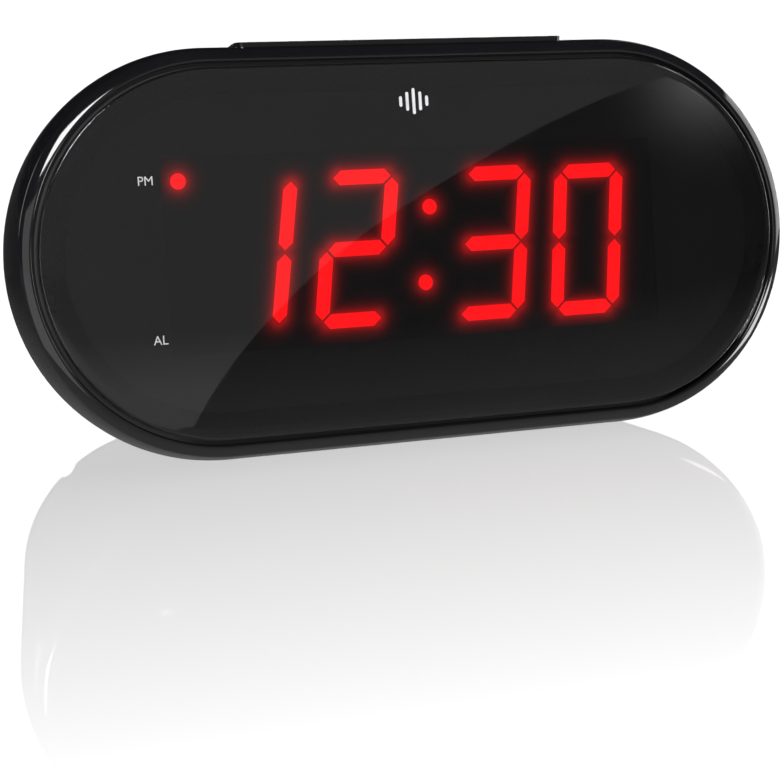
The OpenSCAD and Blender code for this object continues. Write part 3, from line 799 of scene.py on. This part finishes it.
def addFloorLights(group):
    for name, (strength, angle) in floorLights["suns"].items():
        sun = addLight("SUN", name, (0, 0, floorLights["sunHeight"]), (0, 0, 0), group)
        sun.data.energy = strength
        sun.data.angle = radians(angle)
        if name == "wash":
            sun.light_linking.blocker_collection = group
        sun.visible_glossy = False
    far = floorLights["wallAway"]
    high = floorLights["wallHeight"]
    glow = floorLights["wallGlow"]
    for i, (x, y) in enumerate(((0, far), (0, -far), (far, 0), (-far, 0))):
        wall = addBox("wall" + str(i), (x, y, high / 2), (0, 0, high / 2),
                      (2 * far, high + floorLights["wallSpare"]), glow, group)
        wall.visible_diffuse = False
    ceiling = addBox("ceiling", (0, 0, high), (0, 0, 0), (2 * far, 2 * far), glow, group)
    ceiling.visible_diffuse = False


def throwRay(x, z):
    # The way that the camera's sight of (x, z) on the lens goes on after it is mirrored
    eye = toFace.inverted() @ (lensFront + Vector(view["place"]) * mm)
    mirrored = Vector((eye.x, -eye.y, eye.z))
    return mirrored, Vector((x, 0, z)) - mirrored


def throwOut(x, z, away):
    mirrored, ray = throwRay(x, z)
    return mirrored + ray * ((-away - mirrored.y) / ray.y)


def throwWay(x, z):
    return (turn @ throwRay(x, z)[1]).normalized()


# Brightness by height: what gloss sees above, near and below the horizon
studio = {"above": 0.036, "near": 0.33, "below": 0.6, "upFrom": 0.078, "upTo": 0.135,
          "downFrom": -0.2, "downTo": -0.6, "frontAt": -0.2, "backAt": 0.3, "backShare": 0.15,
          "glowAt": (63, 31), "glowReach": 0.06, "glowFade": 3.0, "glow": 2.2}


def addWorld():
    world = bpy.data.worlds.new("studio")
    bpy.context.scene.world = world
    world.use_nodes = True
    tree = world.node_tree
    white = tree.nodes["Background"]
    white.inputs["Color"].default_value = (1, 1, 1, 1)
    white.inputs["Strength"].default_value = 1.0
    dim = tree.nodes.new("ShaderNodeBackground")
    coord = tree.nodes.new("ShaderNodeTexCoord")
    parts = tree.nodes.new("ShaderNodeSeparateXYZ")
    tree.links.new(coord.outputs["Generated"], parts.inputs["Vector"])
    up = rampNode(tree, parts.outputs["Z"], studio["near"], studio["above"],
                  studio["upFrom"], studio["upTo"])
    facing = rampNode(tree, parts.outputs["Y"], 1.0, studio["backShare"],
                      studio["frontAt"], studio["backAt"])
    front = timesNode(tree, up, facing)
    down = rampNode(tree, parts.outputs["Z"], studio["below"] - studio["near"], 0.0,
                    studio["downTo"], studio["downFrom"])
    total = tree.nodes.new("ShaderNodeMath")
    tree.links.new(front, total.inputs[0])
    tree.links.new(down, total.inputs[1])
    # A soft patch of light that the lens mirrors in its upper right corner
    apart = tree.nodes.new("ShaderNodeVectorMath")
    apart.operation = "DISTANCE"
    apart.inputs[1].default_value = throwWay(*studio["glowAt"])
    tree.links.new(coord.outputs["Generated"], apart.inputs[0])
    close = rampNode(tree, apart.outputs["Value"], 1.0, 0.0, 0.0, studio["glowReach"])
    patch = mathNode(tree, "MULTIPLY", mathNode(tree, "POWER", close, studio["glowFade"]),
                     studio["glow"])
    lit = tree.nodes.new("ShaderNodeMath")
    tree.links.new(total.outputs["Value"], lit.inputs[0])
    tree.links.new(patch, lit.inputs[1])
    tree.links.new(lit.outputs["Value"], dim.inputs["Strength"])
    path = tree.nodes.new("ShaderNodeLightPath")
    pick = tree.nodes.new("ShaderNodeMixShader")
    tree.links.new(path.outputs["Is Camera Ray"], pick.inputs["Fac"])
    tree.links.new(dim.outputs["Background"], pick.inputs[1])
    tree.links.new(white.outputs["Background"], pick.inputs[2])
    tree.links.new(pick.outputs["Shader"], tree.nodes["World Output"].inputs["Surface"])


# The window light on the lens: its edge as it falls on the lens, thrown out to the card
lensCard = {"away": 900.0, "bright": 0.27, "low": 0.57, "lowFrom": -25, "lowTo": -14,
            "edge": ((-60, -52), (-50, -32), (-36, -15), (-14, 2), (20, 19), (48, 29), (72, 33)),
            "edgeSteps": 8, "corner": (-120, 75)}


def addCard(name, points, material):
    # Seen in gloss, but not by the camera
    mesh = bpy.data.meshes.new(name)
    mesh.from_pydata([toFace @ p for p in points], [], [tuple(range(len(points)))])
    card = bpy.data.objects.new(name, mesh)
    bpy.context.scene.collection.objects.link(card)
    card.data.materials.append(material)
    card.visible_camera = False
    card.visible_diffuse = False
    card.visible_shadow = False


def curveThrough(points, steps):
    # A smooth curve through the points, with the end points used twice
    spots = [Vector(p) for p in (points[0],) + tuple(points) + (points[-1],)]
    curve = []
    for a, b, c, d in zip(spots, spots[1:], spots[2:], spots[3:]):
        for step in range(steps):
            t = step / steps
            curve.append(b + 0.5 * t * ((c - a) + t * ((2 * a - 5 * b + 4 * c - d)
                                                       + t * (3 * (b - c) + d - a))))
    return [tuple(p) for p in curve] + [tuple(points[-1])]


def addWindowCard():
    mat = bpy.data.materials.new("windowLight")
    mat.use_nodes = True
    tree = mat.node_tree
    tree.nodes.remove(tree.nodes["Principled BSDF"])
    shine = tree.nodes.new("ShaderNodeEmission")
    tree.links.new(shine.outputs["Emission"], tree.nodes["Material Output"].inputs["Surface"])
    coord = tree.nodes.new("ShaderNodeTexCoord")
    parts = tree.nodes.new("ShaderNodeSeparateXYZ")
    tree.links.new(coord.outputs["Object"], parts.inputs["Vector"])
    away = lensCard["away"]
    low, high = ((toFace @ throwOut(0, lensCard[end], away)).z for end in ("lowFrom", "lowTo"))
    level = rampNode(tree, parts.outputs["Z"], lensCard["low"], lensCard["bright"], low, high)
    tree.links.new(level, shine.inputs["Strength"])
    cx, cz = lensCard["corner"]
    edge = curveThrough(lensCard["edge"], lensCard["edgeSteps"])
    outline = [(cx, edge[0][1])] + edge + [(edge[-1][0], cz), (cx, cz)]
    addCard("windowCard", [throwOut(x, z, away) for x, z in outline], mat)


# Soft boxes round the object: direction, distance, size and brightness
softBoxes = {
    "streakLeft": ((-0.27, -0.75, 0.57), 0.9, (0.34, 0.20), 24.0),
    "bandLeft": ((-0.52, -0.85, 0.05), 0.9, (0.55, 0.65), 1.2),
    "glowRight": ((0.96, -0.12, 0.22), 0.9, (0.45, 0.45), 3.2),
    "lowRight": ((0.85, -0.45, -0.20), 0.9, (0.30, 0.20), 11.0),
    "backLeft": ((-0.85, 0.50, 0.32), 1.2, (0.5, 0.5), 3.0),
    "backRight": ((0.90, 0.75, 0.55), 1.3, (0.5, 0.6), 3.0),
}


boxAim = lensFront + Vector((0, 20 * mm, 0))
topBox = {"place": (0, 0.5, 1.3), "size": (1.2, 1.2), "radiance": 3.0}


def addSoftBoxes(group):
    for name, (way, far, size, radiance) in softBoxes.items():
        place = boxAim + Vector(way).normalized() * far
        addBox(name, place, boxAim, size, radiance, group)
    top = addBox("top", topBox["place"], (0, 0, 0), topBox["size"], topBox["radiance"], group)
    top.visible_glossy = False


addCamera()
floor = addFloor()
addWorld()
addFloorLights(lightGroup("floorOnly", floor, "INCLUDE"))
addSoftBoxes(lightGroup("notTheFloor", floor, "EXCLUDE"))
addWindowCard()
bpy.context.scene.view_settings.view_transform = "Standard"
print("studio ready")
